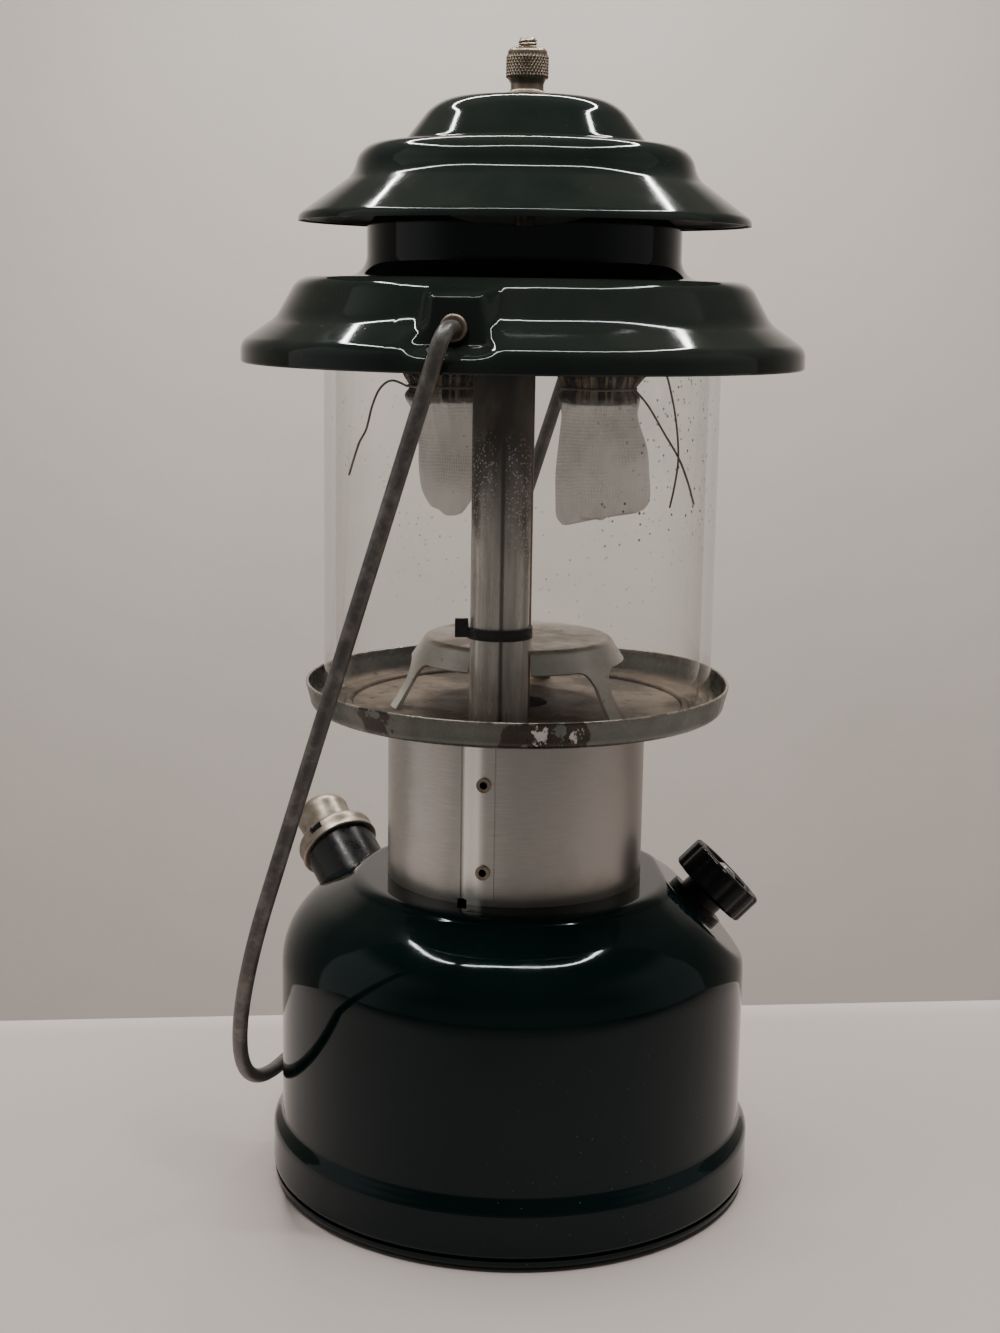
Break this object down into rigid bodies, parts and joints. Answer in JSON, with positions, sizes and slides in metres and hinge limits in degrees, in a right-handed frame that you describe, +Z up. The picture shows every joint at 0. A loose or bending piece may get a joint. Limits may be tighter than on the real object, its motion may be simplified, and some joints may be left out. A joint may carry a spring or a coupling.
{
  "type": "gas lantern",
  "caption": "Pressure gas lantern: pumped fuel fount with valve and filler, collar, globe over hanging mantles, stepped ventilator hood and wire bail.",
  "frame": {"origin": "centre of the foot, on the table", "axes": "+Z up along the lantern's axis; -Y towards the side with the collar's seam; +X towards the valve"},
  "size_m": [0.1456, 0.1604, 0.303],
  "materials": {
    "green_enamel": "gloss",
    "brass": "satin",
    "brown_brass": "heat stained",
    "rubber": "matte",
    "leather": "oiled",
    "black_lacquer": "gloss",
    "black_plastic": "satin",
    "nickel": "worn polish",
    "steel": "satin",
    "sooty_steel": "sooted",
    "rivet_metal": "dull",
    "dark_spring": "semi-gloss",
    "aluminium": "brushed",
    "shield_metal": "satin",
    "tray_paint": "worn",
    "burner_iron": "sooted",
    "mantle_cloth": "knitted",
    "tie_thread": "thread",
    "clear_glass": "clear",
    "bail_wire": "dark"
  },
  "bodies": {
    "base": {"fount_shell": "green_enamel", "fount_base": "green_enamel", "pump_barrel": "green_enamel", "filler_neck": "brass", "pump_cap": "nickel", "pump_check_valve": "brass", "valve_body": "brass", "valve_bonnet": "black_lacquer", "pickup_tube": "brass", "fuel_pipe": "brass", "collar": "aluminium", "collar_rivets": "rivet_metal", "globe_tray": "tray_paint", "heat_shield": "shield_metal", "air_tube": "sooty_steel", "tube_clip": "dark_spring", "generator_block": "brass", "generator_nut": "brass", "generator_tube": "brown_brass", "gas_tip": "brass", "manifold": "burner_iron", "burner_caps": "burner_iron", "burner_screens": "steel", "mantle_left": "mantle_cloth", "mantle_right": "mantle_cloth", "mantle_ties": "tie_thread", "string_left": "tie_thread", "string_front": "tie_thread", "string_rear": "tie_thread", "stud": "rivet_metal"},
    "ventilator": {"vent_neck": "green_enamel", "vent_skirt": "green_enamel", "vent_cap": "green_enamel", "bail_eyelets": "nickel"},
    "bail": {"bail": "bail_wire"},
    "globe": {"globe": "clear_glass"},
    "nut_insert": {"ball_insert": "brass"},
    "nut": {"ball_nut": "rivet_metal"},
    "valve": {"valve_stem": "steel", "valve_knob": "black_plastic", "valve_screw": "steel"},
    "needle": {"generator_needle": "steel"},
    "pump_piston": {"pump_cup": "leather"},
    "pump_handle": {"pump_rod": "steel", "pump_knob": "nickel"},
    "filler_seal": {"filler_gasket": "rubber"},
    "filler": {"filler_cap": "black_lacquer"}
  },
  "joints": [
    {"name": "vent_lift", "type": "slide", "parent": "base", "child": "ventilator", "axis": [0, 0, 1], "range_m": [0, 0.028]},
    {"name": "globe_lift", "type": "slide", "parent": "base", "child": "globe", "axis": [0, 0, 1], "range_m": [0, 0.0252]},
    {"name": "bail_swing", "type": "hinge", "parent": "ventilator", "child": "bail", "pos_m": [0, 0, 0.2316], "axis": [0.2334, 0.9724, 0], "range_deg": [0, 325]},
    {"name": "nut_rise", "type": "slide", "parent": "ventilator", "child": "nut_insert", "axis": [0, 0, 1], "range_m": [0, 0.0024]},
    {"name": "nut_turn", "type": "hinge", "parent": "nut_insert", "child": "nut", "pos_m": [0, 0, 0.2968], "axis": [0, 0, 1], "range_deg": [0, 1080]},
    {"name": "valve_turn", "type": "hinge", "parent": "base", "child": "valve", "pos_m": [0.04972, 0.00435, 0.07513], "axis": [0.7044, 0.0616, 0.7071], "range_deg": [0, 270]},
    {"name": "needle_rise", "type": "slide", "parent": "base", "child": "needle", "axis": [0, 0, 1], "range_m": [0, 0.003]},
    {"name": "pump_stroke", "type": "slide", "parent": "base", "child": "pump_piston", "axis": [-0.4636, 0.6873, 0.5592], "range_m": [0, 0.045]},
    {"name": "pump_turn", "type": "hinge", "parent": "pump_piston", "child": "pump_handle", "pos_m": [-0.047, 0.03415, 0.07385], "axis": [-0.4636, 0.6873, 0.5592], "range_deg": [0, 360]},
    {"name": "filler_rise", "type": "slide", "parent": "base", "child": "filler_seal", "axis": [0.0868, 0.4924, 0.866], "range_m": [0, 0.006]},
    {"name": "filler_turn", "type": "hinge", "parent": "filler_seal", "child": "filler", "pos_m": [0.00851, 0.04826, 0.08078], "axis": [0.0868, 0.4924, 0.866], "range_deg": [0, 1080]}
  ],
  "couplings": [
    {"joint": "globe_lift", "follows": "vent_lift", "ratio": 0.9},
    {"joint": "nut_turn", "follows": "nut_rise", "rad_per_m": 7854},
    {"joint": "needle_rise", "follows": "valve_turn", "m_per_rad": 0.00063662},
    {"joint": "filler_rise", "follows": "filler_turn", "m_per_rad": 0.00031831}
  ]
}
